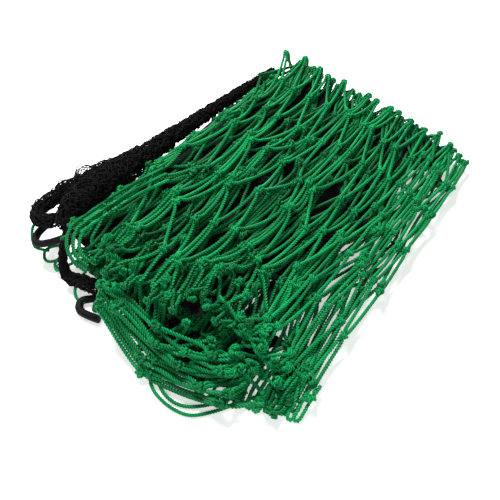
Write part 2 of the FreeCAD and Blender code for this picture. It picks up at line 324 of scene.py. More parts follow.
def base_ring(width, upper, lower, columns, seed):
    """A flattened ring of mesh in the base: place and limits for one strip."""
    near, far = 3.0, node_box("net_lower_pleat")[1][1] - CORNER[1] - 4
    rows, along, depth = fold_line([upper, lower], near, far, closed=True)

    def place(row, column):
        y = np.interp(row % (2 * PASS_ROWS), rows, along)
        z = np.interp(row % (2 * PASS_ROWS), rows, depth)
        x = 2.5 + (width - 5) * column / columns
        x = x + 2.0 * ripple(x, y, seed, 24)
        y = y + 2.5 * ripple(x, y, seed + 1, 20)
        points = tilted(x, y, z + 0.8 * ripple(x, y, seed + 2, 18))
        points[:, 2] = np.maximum(points[:, 2], 1.7)
        return points

    return place, fixed_limits((1.0, -2.0, -80.0), (width, far + 6, -29.0))


def side_ring(upper, lower, columns, seed):
    """A flattened ring of mesh in the bunched edge on the left, in level layers."""
    box_low, box_high = node_box("net_side_bunch")
    rows, along, depth = fold_line([upper, lower], box_low[1] + 6, box_high[1] - 6, closed=True)

    def place(row, column):
        y = np.interp(row % (2 * PASS_ROWS), rows, along)
        z = np.interp(row % (2 * PASS_ROWS), rows, depth)
        narrow = 1 - 0.35 * (z > 0.5 * box_high[2])
        share = column / (columns + 0.5)
        x = box_high[0] - 3 - (box_high[0] - box_low[0] - 6) * share * narrow
        x = x + 2.2 * ripple(x, y, seed, 30)
        y = y + 4.0 * ripple(x, y, seed + 1, 22)
        z = np.maximum(z + 1.2 * ripple(x, y, seed + 2, 16), 1.7)
        return np.stack([x, y, z], axis=-1)

    return place, fixed_limits((-62.0, 14.0, -80.0), (12.0, 310.0, -34.0))


DRAPE_COLUMNS = 4


def place_in_drape(row, column):
    """Strands that slip off the stack's left side and lie over the border rope."""
    share = column / DRAPE_COLUMNS
    y = 14 + 262 * row / (PASS_ROWS - 1)
    near = 1 - smooth((y - 30) / 200)
    x = 0.5 - (8.5 + 2.5 * near) * share
    z = 49.5 - 6.0 * share - 1.5 * near + 0.8 * ripple(x, y, 81, 20)
    x = x + 1.2 * ripple(y, x, 82, 28)
    return ground_at(x, y, z)


SWAG_CENTRE = (106.0, 1.0)
SWAG_ROWS = 4
SWAG_COLUMNS = 7


def place_in_swag(row, column):
    """Loose mesh that hangs out under the near fold in nested arcs, high on the left."""
    row = row + 0.35 * ripple(column * 12, column * 0 + 3 * row, 44, 13)
    turn = math.pi * (1.06 - 1.12 * row / SWAG_ROWS)
    inner = column / SWAG_COLUMNS
    wide = 71 - 24 * inner
    deep = 36 - 27 * inner
    left = smooth((np.cos(turn) - 0.05) / -0.95)
    right = smooth((np.cos(turn) - 0.1) / 0.9)
    x = SWAG_CENTRE[0] - 10 * inner + wide * np.cos(turn)
    y = SWAG_CENTRE[1] - deep * np.sin(turn) + 8 * inner * right
    z = 3.0 + 27 * inner + left * (32 - 20 * inner) + right * (10 - 6 * inner)
    x = x + 1.5 * ripple(x, y, 41, 22)
    z = z + 1.5 * ripple(x, y, 42, 18)
    return ground_at(x, y, z)


CURTAIN_ROWS = 2
CURTAIN_COLUMNS = 9


def place_in_curtain(row, column):
    """Mesh that hangs down from under the near fold behind the swag, to the floor."""
    share = column / CURTAIN_COLUMNS
    drop = np.clip(row / CURTAIN_ROWS, 0, 1)
    x = 44 + 128 * share + 3 * ripple(120 * share, 20 * row, 45, 18)
    y = 6 - 27 * drop * np.sin(math.pi * np.clip(share, 0, 1)) ** 0.5 + 2 * ripple(120 * share, 20 * row,
                                                                                   46, 15)
    z = (38 - 20 * share) * (1 - drop) ** 0.8 + 2.5
    return ground_at(x, y, z)


CORNER_ROWS = 7
CORNER_COLUMNS = 6


def place_in_corner(row, column):
    """Strands along the right edge, which sag at the near fold in nested arcs down to the floor."""
    share = column / CORNER_COLUMNS
    part = row / CORNER_ROWS
    turn = math.pi * np.clip(part / 0.12, 0, 1)
    up = np.maximum(part - 0.12, 0) * 325
    narrow = smooth(up / 260)
    x = 132 + 22 * narrow + (64 - 20 * narrow) * share - 9 * np.cos(turn)
    x = np.minimum(x, (STACK_WIDTH - 2) * math.cos(tilt) - 2 * (1 - share)) + 1.5 * ripple(x, 0.3 * up, 48,
                                                                                           15)
    y = np.interp(share, [0, 0.35, 0.7, 1], [23, 12, 9, 2]) + 10 - 10 * np.sin(turn) + up
    y = y + 2 * ripple(30 * share, 20 * part, 47, 8)
    sag = right_droop(x, y) + 4 * share * (1 - smooth(up / 60)) + 5 * smooth((up - 235) / 50)
    return tilted(x / math.cos(tilt), y, -0.5 - sag)


# --- Netting: settling ---


def close_pairs(points, reach):
    """Pairs of points nearer than reach, found with a grid."""
    cell = np.floor((points - points.min(0)) / reach).astype(np.int64) + 1
    size = cell.max(0) + 2
    key = (cell[:, 0] * size[1] + cell[:, 1]) * size[2] + cell[:, 2]
    order = np.argsort(key, kind="stable")
    ranked = key[order]
    index = np.arange(len(points))
    found = []
    for i in (-1, 0, 1):
        for j in (-1, 0, 1):
            for k in (-1, 0, 1):
                shift = (i * size[1] + j) * size[2] + k
                if shift < 0:
                    continue
                first = np.searchsorted(ranked, ranked + shift, "left")
                last = np.searchsorted(ranked, ranked + shift, "right")
                if shift == 0:
                    first = index + 1
                count = np.maximum(last - first, 0)
                own = np.repeat(index, count)
                offset = np.arange(count.sum()) - np.repeat(np.cumsum(count) - count, count)
                other = offset + np.repeat(first, count)
                found.append(np.stack([order[own], order[other]]))
    pairs = np.concatenate(found, axis=1)
    gap = np.linalg.norm(points[pairs[0]] - points[pairs[1]], axis=1)
    return pairs[:, gap < reach]


def spread_moves(moves, numbers, count):
    """Sums moves per point."""
    return np.stack([np.bincount(numbers, moves[:, axis], count) for axis in range(3)], axis=-1)


KNOT_RADIUS = 2.3
TWINE_RADIUS = 1.45
RIDGE = 0.17           # height of the twine's strands, as a share of its radius
STRAND = 0.88 * TWINE  # mean thickness, so that the strands' ridges come out at the full thickness


def settle(net, steps):
    """Pulls the twine towards its length and pushes it apart where it overlaps, in small steps."""
    bars = np.array(net.bars)
    points = net.points
    count = len(points)
    a = bars[:, :-1].ravel()
    b = bars[:, 1:].ravel()
    parts = np.linalg.norm(points[b] - points[a], axis=1).reshape(len(bars), BAR_PARTS)
    rest = np.clip(parts.sum(axis=1) * 1.012, np.array(net.bar_least) * BAR, 1.3 * BAR) / BAR_PARTS
    rest = np.repeat(rest, BAR_PARTS)[:, None]
    is_knot = np.zeros(count, bool)
    is_knot[net.knots] = True
    radius = np.where(is_knot, KNOT_RADIUS, TWINE_RADIUS)
    owner = np.full(count, -1)
    owner[bars[:, 1]] = bars[:, 0]
    owner[bars[:, -2]] = bars[:, -1]
    home = points[net.knots].copy()
    links = np.bincount(np.concatenate([a, b]), minlength=count)[:, None]
    pairs = None
    for step in range(steps):
        if step % 10 == 0:
            pairs = close_pairs(points, 6.5)
            linked = (owner[pairs[0]] == pairs[1]) | (owner[pairs[1]] == pairs[0])
            pairs = pairs[:, ~linked]
            least = radius[pairs[0]] + radius[pairs[1]]
        # Bars are pulled towards their length.
        along = points[b] - points[a]
        length = np.linalg.norm(along, axis=1, keepdims=True)
        fix = along * (0.5 * (length - rest) / np.maximum(length, 1e-6))
        move = spread_moves(np.concatenate([fix, -fix]), np.concatenate([a, b]), count)
        points = points + 1.3 * move / links
        # Twine is springy: each point drifts towards the middle of its neighbours.
        inner = bars[:, 1:-1]
        middle = (points[bars[:, :-2]] + points[bars[:, 2:]]) / 2
        points[inner] += 0.22 * (middle - points[inner])
        # Strands that overlap are pushed apart, which lessens the overlap and doesn't remove it.
        apart = points[pairs[1]] - points[pairs[0]]
        gap = np.linalg.norm(apart, axis=1, keepdims=True)
        push = apart * (0.5 * np.minimum(gap - least[:, None], 0) / np.maximum(gap, 1e-6))
        hit = gap[:, 0] < least
        if hit.any():
            struck = np.concatenate([pairs[0][hit], pairs[1][hit]])
            shove = spread_moves(np.concatenate([push[hit], -push[hit]]), struck, count)
            times = np.maximum(np.bincount(struck, minlength=count), 1)[:, None]
            points = points + 1.2 * shove / times
        points[net.knots] += 0.03 * (home - points[net.knots])
        points[:, 2] -= 0.03
        where = np.clip(to_tilted(points), net.low, net.high)
        points = tilted(where[:, 0], where[:, 1], where[:, 2])
        points[:, 2] = np.maximum(points[:, 2], np.where(is_knot, TWINE, TWINE / 2))
    net.points = points


# --- Netting: meshes ---


def curve_matrix(stops, rings):
    """Weights that turn control points into points on a Catmull-Rom line through them."""
    matrix = np.zeros((rings, stops))
    for ring, place in enumerate(np.linspace(0, stops - 1, rings)):
        i = min(int(place), stops - 2)
        t = place - i
        weights = [(-t + 2 * t ** 2 - t ** 3) / 2, (2 - 5 * t ** 2 + 3 * t ** 3) / 2,
                   (t + 4 * t ** 2 - 3 * t ** 3) / 2, (t ** 3 - t ** 2) / 2]
        for offset, weight in zip((-1, 0, 1, 2), weights):
            stop = i + offset
            if stop < 0:
                matrix[ring, 0] += 2 * weight
                matrix[ring, 1] -= weight
            elif stop > stops - 1:
                matrix[ring, stops - 1] += 2 * weight
                matrix[ring, stops - 2] -= weight
            else:
                matrix[ring, stop] += weight
    return matrix


def add_object(name, data):
    made = bpy.data.objects.new(name, data)
    bpy.context.scene.collection.objects.link(made)
    return made


class MeshParts:
    """Tubes that are gathered into one mesh."""

    def __init__(self):
        self.points = []
        self.quads = []
        self.coords = []
        self.tone = []
        self.count = 0

    def add_tubes(self, lines, radius, lay, ridge, tones, sides=6):
        """Tubes along lines, an array of tube, ring and x, y, z. With a lay, the section has a ridge
        for each strand and turns along the tube."""
        tubes, rings = lines.shape[:2]
        ahead = unit(np.gradient(lines, axis=1))
        step = np.linalg.norm(np.diff(lines, axis=1), axis=2)
        gone = np.concatenate([np.zeros((tubes, 1)), np.cumsum(step, axis=1)], axis=1)
        side = np.cross(ahead[:, 0], NORMAL + 0.1 * ALONG)
        frames = []
        for ring in range(rings):
            side = side - ahead[:, ring] * np.sum(side * ahead[:, ring], axis=1, keepdims=True)
            side = unit(side)
            frames.append(np.stack([side, np.cross(ahead[:, ring], side)], axis=1))
        frames = np.stack(frames, axis=1)
        around = np.arange(sides) * 2 * math.pi / sides
        angle = np.broadcast_to(around, (tubes, rings, sides))
        size = np.broadcast_to(radius, (tubes, rings, sides)).copy()
        if lay:
            twist = (gone / lay * 2 * math.pi + tones[:, None] * 40)[..., None]
            angle = angle + twist
            size *= np.where(np.arange(sides) % (sides // 3) == 0, 1 + ridge, 1 - ridge)
        ring_points = (lines[:, :, None] + size[..., None]
                       * (np.cos(angle)[..., None] * frames[:, :, None, 0]
                          + np.sin(angle)[..., None] * frames[:, :, None, 1]))
        number = self.count + np.arange(tubes * rings * sides).reshape(tubes, rings, sides)
        after = np.roll(number, -1, axis=2)
        wall = np.stack([number[:, :-1], after[:, :-1], after[:, 1:], number[:, 1:]], axis=-1)
        self.quads.append(wall.reshape(-1, 4))
        turn = np.arange(sides + 1) / sides
        u = np.broadcast_to(np.stack([turn[:-1], turn[1:], turn[1:], turn[:-1]], axis=-1), wall.shape)
        length = gone[:, :, None]
        v = np.stack([length[:, :-1], length[:, :-1], length[:, 1:], length[:, 1:]], axis=-1)
        v = np.broadcast_to(v, wall.shape)
        self.coords.append(np.stack([u, v * 0.02], axis=-1).reshape(-1, 2))
        for end, turned in ((number[:, 0], True), (number[:, -1], False)):
            self.close_end(end, turned)
        self.points.append(ring_points.reshape(-1, 3))
        self.tone.append(np.repeat(tones, rings * sides))
        self.count += tubes * rings * sides

    def close_end(self, end, turned):
        """Closes open ends, an array of tube and point number, with quads across."""
        sides = end.shape[1]
        for first in range(sides // 2 - 1):
            corners = [first, first + 1, sides - 2 - first, sides - 1 - first]
            if turned:
                corners.reverse()
            self.quads.append(end[:, corners])
            self.coords.append(np.zeros((len(end) * 4, 2)))

    def add_skin(self, rings, tone=0.5):
        """A closed skin over rings of points, an array of ring, point and x, y, z."""
        count, sides = rings.shape[:2]
        number = self.count + np.arange(count * sides).reshape(count, sides)
        after = np.roll(number, -1, axis=1)
        wall = np.stack([number[:-1], after[:-1], after[1:], number[1:]], axis=-1).reshape(-1, 4)
        self.quads.append(wall)
        self.coords.append(np.zeros((wall.size, 2)))
        self.close_end(number[:1], True)
        self.close_end(number[-1:], False)
        self.points.append(rings.reshape(-1, 3))
        self.tone.append(np.full(count * sides, tone))
        self.count += count * sides

    def build(self, name, material):
        points = np.concatenate(self.points) * MM
        points[:, 2] = np.maximum(points[:, 2], 0.0)
        quads = np.concatenate(self.quads)
        mesh = bpy.data.meshes.new(name)
        mesh.vertices.add(len(points))
        mesh.vertices.foreach_set("co", points.ravel())
        mesh.loops.add(quads.size)
        mesh.loops.foreach_set("vertex_index", quads.ravel().astype(np.int32))
        mesh.polygons.add(len(quads))
        mesh.polygons.foreach_set("loop_start", np.arange(0, quads.size, 4, dtype=np.int32))
        mesh.update(calc_edges=True)
        mesh.polygons.foreach_set("use_smooth", np.ones(len(quads), bool))
        layer = mesh.uv_layers.new(name="UVMap")
        layer.data.foreach_set("uv", np.concatenate(self.coords).ravel().astype(np.float32))
        tone = mesh.attributes.new("tone", "FLOAT", "POINT")
        tone.data.foreach_set("value", np.concatenate(self.tone).astype(np.float32))
        mesh.materials.append(material)
        return add_object(name, mesh)


# The netting knot in twine thicknesses: x across, y along the net, z out of it. A bight, and the
# twine that comes up through it, round its neck and down under itself.
KNOT_BIGHT = [(-0.52, 1.35, 0.0), (-0.5, 0.75, 0.05), (-0.72, 0.0, 0.25), (-0.62, -0.65, 0.4),
              (0.0, -0.98, 0.45), (0.62, -0.65, 0.4), (0.72, 0.0, 0.25), (0.5, 0.75, 0.05),
              (0.52, 1.35, 0.0)]
KNOT_WRAP = [(-0.5, -1.35, -0.05), (-0.38, -0.8, -0.3), (-0.2, -0.2, -0.1), (0.1, 0.2, 0.55),
             (0.75, 0.42, 0.7), (1.15, 0.5, 0.05), (0.75, 0.6, -0.6), (0.0, 0.62, -0.75),
             (-0.8, 0.5, -0.55), (-1.15, 0.25, 0.1), (-0.75, -0.05, 0.75), (0.0, -0.3, 0.95),
             (0.75, -0.6, 0.7), (0.8, -0.95, 0.15), (0.5, -1.35, -0.05)]
KNOT_END = (0.52, 1.35)


def knot_frames(net):
    """Directions across, along and out of the net at each knot, from the bars that meet there."""
    count = len(net.points)
    bars = np.array(net.bars)
    along = np.zeros((count, 3))
    across = np.zeros((count, 3))
    leave = unit(net.points[bars[:, 3]] - net.points[bars[:, 0]])
    arrive = unit(net.points[bars[:, -1]] - net.points[bars[:, -4]])
    np.add.at(along, bars[:, 0], leave)
    np.add.at(along, bars[:, -1], arrive)
    along = unit(along)
    sign = np.array(net.bar_side)[:, None]
    np.add.at(across, bars[:, 0], leave * sign)
    np.add.at(across, bars[:, -1], arrive * sign)
    weak = np.linalg.norm(across, axis=1) < 0.05
    across[weak] = ACROSS
    across = across - along * np.sum(across * along, axis=1, keepdims=True)
    across = unit(across)
    return across, along, np.cross(across, along)


def net_pieces(net, draw, detail):
    """Gathers the settled netting into one MeshParts for each piece."""
    bars = np.array(net.bars)
    side = np.array(net.bar_side)[:, None]
    across, along, out = knot_frames(net)
    lines = net.points[bars]
    for end, sign in ((0, 1), (-1, -1)):
        knot = bars[:, end]
        lines[:, end] = (net.points[knot] + 0.75 * TWINE * KNOT_END[1] * sign * along[knot]
                         + 0.75 * TWINE * KNOT_END[0] * sign * side * across[knot])
    # The first and last inner points lie inside the knots, so the line runs on to the second ones.
    lines = np.delete(lines, [1, -2], axis=1)
    bar_piece = np.array(net.bar_piece)
    knots = np.array(net.knots)
    knot_piece = np.array(net.knot_piece)
    # Each bar and knot gets a random tone within its piece's range, and the darker ranges inside the stack
    # are painted shade.
    brightness = np.array([NET_TONE_AND_SHADE.get(name, (0.1, 0.6)) for name in net.bar_piece])
    tones = draw.uniform(brightness[:, 0], brightness[:, 1])
    flip = draw.choice([-1.0, 1.0], len(knots))
    size = TWINE * draw.uniform(0.70, 0.80, len(knots))
    brightness = np.array([NET_TONE_AND_SHADE.get(name, (0.1, 0.6)) for name in net.knot_piece])
    knot_tones = draw.uniform(brightness[:, 0], brightness[:, 1])
    made = {}
    for name in sorted(set(net.bar_piece)):
        ring_gap, knot_gap = detail[name]
        parts = MeshParts()
        rings = int(BAR / ring_gap)
        own = bar_piece == name
        smooth_lines = np.einsum("rs,nsk->nrk", curve_matrix(lines.shape[1], rings), lines[own])
        parts.add_tubes(smooth_lines, STRAND / 2, LAY, RIDGE, tones[own])
        own = knot_piece == name
        place = knots[own]
        for stops, length in ((KNOT_BIGHT, 16), (KNOT_WRAP, 34)):
            stops = np.array(stops)
            local = curve_matrix(len(stops), int(length / knot_gap)) @ stops
            scale = size[own][:, None, None]
            world = net.points[place][:, None] + scale * (
                0.92 * local[None, :, :1] * (across[place] * flip[own][:, None])[:, None]
                + local[None, :, 1:2] * along[place][:, None]
                + 0.85 * local[None, :, 2:] * out[place][:, None])
            parts.add_tubes(world, STRAND / 2 * 0.9, LAY, RIDGE, knot_tones[own])
        made[name] = parts
    return made


# --- Black liner ---


class RoundPath:
    """A smooth line through stops in the ground frame, with a radius at each, for rolls and threads."""

    def __init__(self, stops, steps=220):
        stops = np.array(stops, float)
        matrix = curve_matrix(len(stops), steps)
        self.centre = matrix @ ground(stops[:, :3])
        self.radius = matrix @ stops[:, 3]
        step = np.linalg.norm(np.diff(self.centre, axis=0), axis=1)
        self.gone = np.concatenate([[0], np.cumsum(step)])
        self.length = self.gone[-1]
        ahead = unit(np.gradient(self.centre, axis=0))
        side = np.array([0.0, 0.0, 1.0])
        sides = []
        for direction in ahead:
            side = unit(side - direction * (side @ direction))
            sides.append(side)
        self.side = np.array(sides)
        self.other = np.cross(ahead, self.side)

    def at(self, share, angle, out):
        """Points at a share of the length, an angle round it and a distance from the surface."""
        gone = np.clip(share, 0, 1) * self.length
        read = lambda table: np.stack([np.interp(gone, self.gone, table[:, k]) for k in range(3)], axis=-1)
        radius = np.interp(gone, self.gone, self.radius) + out
        turn = np.cos(angle)[..., None] * read(self.side) + np.sin(angle)[..., None] * read(self.other)
        return read(self.centre) + radius[..., None] * turn


THREAD = 1.0           # thickness of a bundle of the liner's threads


def add_roll(parts, path, seed, threads, cell, bulge, layers=3):
    """A roll of rumpled mesh: an uneven core, and layers of threads crossing over it."""
    rings = max(int(path.length / 1.6), 12)
    sides = 28
    share, angle = np.meshgrid(np.linspace(0, 1, rings), np.arange(sides) * 2 * math.pi / sides,
                               indexing="ij")
    length = share * path.length
    arc = angle * path.radius.mean()
    lumps = bulge * (0.6 * ripple(length, 6 * np.cos(angle), seed, 6) + 0.5 * ripple(length + arc, arc,
                                                                                     seed + 1, 4))
    ends = 2.2 * (1 - smooth(np.minimum(length, path.length - length) / 4))
    parts.add_skin(path.at(share, angle, -1.2 - bulge + lumps - ends))
    for layer in range(layers):
        steps = int(path.length / 1.3)
        share = np.broadcast_to(np.linspace(0.004, 0.996, steps), (threads, steps))
        number = np.arange(threads)[:, None]
        length = share * path.length
        zigzag = np.abs((length / cell + number + 0.37 * layer) % 2 - 1)
        angle = 2 * math.pi * (number + zigzag) / threads + 0.9 * layer
        angle = angle + 0.35 * ripple(length, 9 * number, seed + 3 + layer,
                                      9) + 0.014 * length * (layer - 1)
        lift = bulge * (0.8 * ripple(length, 14 * number, seed + 5 + layer,
                                     3.5) + 0.2 * layer) - 0.4 * bulge
        tones = np.full(threads, 0.5)
        parts.add_tubes(path.at(share, angle, lift), THREAD / 2, 0, 0, tones, sides=4)


SIDE_ROLL = [(-14.5, 284.0, 41.0, 4.0), (-20.5, 205.0, 41.5, 4.6), (-24.0, 150.0, 40.5, 6.4),
             (-25.0, 100.0, 40.5, 9.0), (-25.0, 60.0, 40.5, 12.0), (-23.5, 30.0, 40.0, 12.0),
             (-20.0, 16.0, 39.5, 8.0), (-14.0, 8.0, 38.5, 5.5)]
OUTER_ROLL = [(-41.0, 112.0, 34.0, 4.0), (-45.0, 84.0, 33.0, 5.0), (-49.5, 52.0, 34.0, 5.5),
              (-52.5, 26.0, 34.0, 5.5), (-51.0, 10.0, 33.5, 5.5), (-41.0, 3.5, 33.0, 5.2),
              (-31.0, 11.0, 34.0, 5.0)]
CORNER_ROLL = [(-12.0, 14.0, 40.0, 4.0), (-9.0, 1.0, 31.0, 2.8), (-6.0, -8.0, 20.0, 2.8),
               (0.0, -12.0, 10.5, 4.0), (14.0, -8.5, 10.5, 5.0), (28.0, -6.6, 13.5, 5.2)]
FRINGE = [(-38.0, 98.0, 35.0, 4.0), (-42.0, 78.0, 34.5, 4.5), (-47.5, 54.0, 34.5, 5.0),
          (-52.0, 30.0, 34.5, 5.0)]


def add_fringe(parts, stops, threads, cell, reach):
    """The liner's loose edge: an open, uneven strip of mesh that stands out from a roll."""
    path = RoundPath(stops)
    steps = 120
    number = np.arange(threads)[:, None]
    share = np.broadcast_to(np.linspace(0, 1, steps), (threads, steps))
    length = share * path.length
    zigzag = np.abs((length / cell + number) % 2 - 1)
    across = (number + zigzag) / threads
    full = np.sin(math.pi * np.clip(share, 0, 1)) ** 0.6
    out = reach * across * full * (0.8 + 0.35 * ripple(length, 3 * across, 71, 9))
    angle = 0.5 + 0.6 * across + 0.25 * ripple(length, 8 * across, 72, 10)
    out = out + 0.8 * ripple(length, 11 * number, 73, 4)
    parts.add_tubes(path.at(share, angle, out), 0.42, 0, 0, np.full(threads, 0.5), sides=4)


def add_liner_and_shade_backing(parts):
    """Rumpled black liner that lies on the floor under the near fold, behind the swag. It is also a dark
    sheet put there as painted shade, so that the deep hole under the swag comes out black.
    """
    share, drop = np.meshgrid(np.linspace(0, 1, 90), np.linspace(0, 1, 36), indexing="ij")
    x = 40 + (120 + 3 * ripple(46 * drop, 0 * drop, 92, 12)) * share
    y = 46 - (40 + 24 * np.sin(math.pi * share) ** 0.6) * drop
    z = 2.3 + (14 - 10 * share) * np.exp(-((y - 11) / 8) ** 2) + 0.9 * ripple(x, y, 91, 6)
    z = np.maximum(z, 1.2)
    upper = ground_at(x, y, z)
    lower = ground_at(x, y, z - 0.8)
    parts.add_skin(np.concatenate([upper, lower[:, ::-1]], axis=1))


LINER_SHEET_DEPTH = -13.5


def rumpled_sheet(name, material, place, size, seed):
    """A thin closed sheet, place(across, along, lift) giving its points, with lift its rumples."""
    width, length = size
    along, across = np.meshgrid(np.linspace(0, length, 150), np.linspace(0, width, int(width / 1.8)),
                                indexing="ij")
    lift = 1.1 * ripple(across, along * 0.25, seed, 7) + 0.6 * ripple(across, along, seed + 1, 5)
    lift = np.clip(lift, -1.7, 1.7)
    upper, lower = place(across, along, lift + 0.2), place(across, along, lift - 0.2)
    parts = MeshParts()
    parts.add_skin(np.concatenate([upper, lower[:, ::-1]], axis=1))
    return parts.build(name, material)


def liner_sheet(material):
    """The liner between the two moving pleats: one thin rumpled sheet."""
    low, high = node_box("liner_inner_sheet")
    width = (high[0] - CORNER[0]) / math.cos(tilt) - 9
    length = high[1] - low[1] - 22

    def place(across, along, lift):
        near = 1 - smooth(along / 90)
        edge = (2.5 * ripple(along, along * 0, 23, 18) - 26 * near) * smooth(across / width)
        y = along + low[1] - CORNER[1] + 6 + 10 * near * smooth(across / width)
        return tilted(across + 5 + edge, y, LINER_SHEET_DEPTH + lift)

    sheet = rumpled_sheet("liner_inner_sheet_visual", material, place, (width, length), 21)
    finish_piece(sheet, "middle_pleat", "black_liner", "liner_inner_sheet")


def liner_edge(material):
    """The liner's edge that lies inside the top pleat, to the right of the middle pleat."""
    width, length = 34.0, 278.0

    def place(across, along, lift):
        near = 1 - smooth(along / 110)
        x = 138 + across + 6 * ripple(along, along * 0, 25,
                                      40) * across / width - 10 * near * across / width
        y = along + 26
        return tilted(x, y, -10.2 + 0.5 * lift - right_droop(x, y))

    sheet = rumpled_sheet("liner_edge", material, place, (width, length), 27)
    finish_piece(sheet, "top_pleat", "black_liner")


def finish_piece(piece, body, slot, *nodes):
    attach(piece, body)
    if nodes:
        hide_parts(*nodes)


# --- Materials ---


def new_material(name):
    """A material with its node tree's principled shader and a helper that adds linked nodes."""
    material = bpy.data.materials.new(name)
    material.use_nodes = True
    tree = material.node_tree
    return material, tree, tree.nodes["Principled BSDF"]


def add_node(tree, kind, links=(), **values):
    """Adds a node, sets its properties or input values by name, and links (from socket, to input)."""
    node = tree.nodes.new(kind)
    for key, value in values.items():
        if hasattr(node, key):
            setattr(node, key, value)
        else:
            node.inputs[key.replace("_", " ")].default_value = value
    for source, target in links:
        tree.links.new(source, node.inputs[target])
    return node


def set_ramp(ramp, stops):
    """Sets a colour ramp's ends, each a place and a colour."""
    for element, (place, colour) in zip(ramp.color_ramp.elements, stops):
        element.position = place
        element.color = (*colour, 1)


def twine_material():
    """Three-strand green polypropylene: satin, with fine fibres along the strands."""
    material, tree, shader = new_material("green_twine")
    # The tone attribute is each bar's random tone together with the painted shade of the pieces inside the
    # stack.
    tone = add_node(tree, "ShaderNodeAttribute", attribute_name="tone")
    place = add_node(tree, "ShaderNodeTexCoord")
    # The UV map's first axis goes once round the section, which has three strands.
    split = add_node(tree, "ShaderNodeSeparateXYZ", [(place.outputs["UV"], "Vector")])
    turn = add_node(tree, "ShaderNodeMath", [(split.outputs["X"], 0)], operation="MULTIPLY")
    turn.inputs[1].default_value = 3 * math.pi
    wave = add_node(tree, "ShaderNodeMath", [(turn.outputs[0], 0)], operation="COSINE")
    strand = add_node(tree, "ShaderNodeMath", [(wave.outputs[0], 0)], operation="ABSOLUTE")
    patch = add_node(tree, "ShaderNodeTexNoise", [(place.outputs["Object"], "Vector")], Scale=60.0,
                     Detail=3.0)
    mix = add_node(tree, "ShaderNodeMath", [(tone.outputs["Fac"], 0), (patch.outputs["Fac"], 1)],
                   operation="ADD")
    half = add_node(tree, "ShaderNodeMath", [(mix.outputs[0], 0)], operation="MULTIPLY")
    half.inputs[1].default_value = 0.5
    ramp = add_node(tree, "ShaderNodeValToRGB", [(half.outputs[0], "Fac")])
    set_ramp(ramp, ((0.2, (0.0005, 0.095, 0.024)), (0.8, (0.0015, 0.40, 0.112))))
    # Painted shade: the colour is darkened in the valleys between the three strands, where shade falls.
    painted_valley_shade = add_node(tree, "ShaderNodeMapRange", [(strand.outputs[0], "Value")])
    painted_valley_shade.inputs["From Max"].default_value = 0.6
    painted_valley_shade.inputs["To Min"].default_value = 0.18
    shade = add_node(tree, "ShaderNodeMix", [(ramp.outputs["Color"], 6), (painted_valley_shade.outputs[0], 7)],
                     data_type="RGBA", blend_type="MULTIPLY")
    shade.inputs[0].default_value = 1.0
    tree.links.new(shade.outputs[2], shader.inputs["Base Color"])
    stretch = add_node(tree, "ShaderNodeMapping", [(place.outputs["UV"], "Vector")])
    stretch.inputs["Scale"].default_value = (26.0, 30.0, 1.0)
    fibre = add_node(tree, "ShaderNodeTexNoise", [(stretch.outputs["Vector"], "Vector")], Scale=1.0,
                     Detail=4.0)
    ridges = add_node(tree, "ShaderNodeBump", [(strand.outputs[0], "Height")], Strength=1.0,
                      Distance=0.0005)
    fibres = add_node(tree, "ShaderNodeBump", [(fibre.outputs["Fac"], "Height"), (ridges.outputs[0],
                                                                                  "Normal")],
                      Strength=0.3, Distance=0.00015)
    tree.links.new(fibres.outputs["Normal"], shader.inputs["Normal"])
    shader.inputs["Roughness"].default_value = 0.42
    shader.inputs["Specular IOR Level"].default_value = 0.16
    return material


def woven_material(name, weave, patch, detail, stops, bump, depth, roughness):
    """Matte black material with a fine woven or knitted pattern of the given scale."""
    material, tree, shader = new_material(name)
    place = add_node(tree, "ShaderNodeTexCoord").outputs["Object"]
    cells = add_node(tree, "ShaderNodeTexVoronoi", [(place, "Vector")], Scale=weave)
    shade = add_node(tree, "ShaderNodeTexNoise", [(place, "Vector")], Scale=patch, Detail=detail)
    ramp = add_node(tree, "ShaderNodeValToRGB", [(shade.outputs["Fac"], "Fac")])
    set_ramp(ramp, stops)
    tree.links.new(ramp.outputs["Color"], shader.inputs["Base Color"])
    relief = add_node(tree, "ShaderNodeBump", [(cells.outputs["Distance"], "Height")], Strength=bump,
                      Distance=depth)
    tree.links.new(relief.outputs["Normal"], shader.inputs["Normal"])
    shader.inputs["Roughness"].default_value = roughness
    shader.inputs["Specular IOR Level"].default_value = 0.12
    return material


def mesh_material():
    stops = ((0.35, (0.0022, 0.0021, 0.0021)), (0.75, (0.0085, 0.0079, 0.0078)))
    return woven_material("black_liner", 900.0, 220.0, 4.0, stops, 0.7, 0.0006, 0.8)


def rope_material():
    stops = ((0.0, (0.0035, 0.003, 0.003)), (1.0, (0.0085, 0.0072, 0.0072)))
    return woven_material("black_rope", 700.0, 160.0, 3.0, stops, 0.35, 0.0004, 0.6)


# --- Border rope ---

# The same routes as in the CAD part, in the ground frame.
ROPE_SIDE = [
    (-8.0, 252.0, 25.0), (-9.0, 234.0, 33.0), (-10.0, 206.0, 39.0), (-9.0, 168.0, 38.0),
    (-8.5, 130.0, 34.0), (-7.0, 94.0, 32.0), (-7.5, 60.0, 30.5), (-9.0, 34.0, 29.5),
    (-15.0, 15.0, 26.0), (-25.0, 0.0, 22.5), (-36.0, -10.5, 20.5), (-45.0, -4.0, 20.5),
    (-46.5, 12.0, 21.5), (-45.5, 32.0, 22.5), (-44.0, 60.0, 22.0), (-42.0, 86.0, 21.5),
    (-38.0, 104.0, 21.5),
]
ROPE_NEAR = [
    (37.0, -3.2, 4.0), (32.0, -7.5, 3.8), (25.0, -13.0, 3.3), (19.5, -19.0, 3.2),
    (25.5, -25.5, 3.2), (35.5, -24.0, 3.3), (44.0, -21.5, 3.5),
]


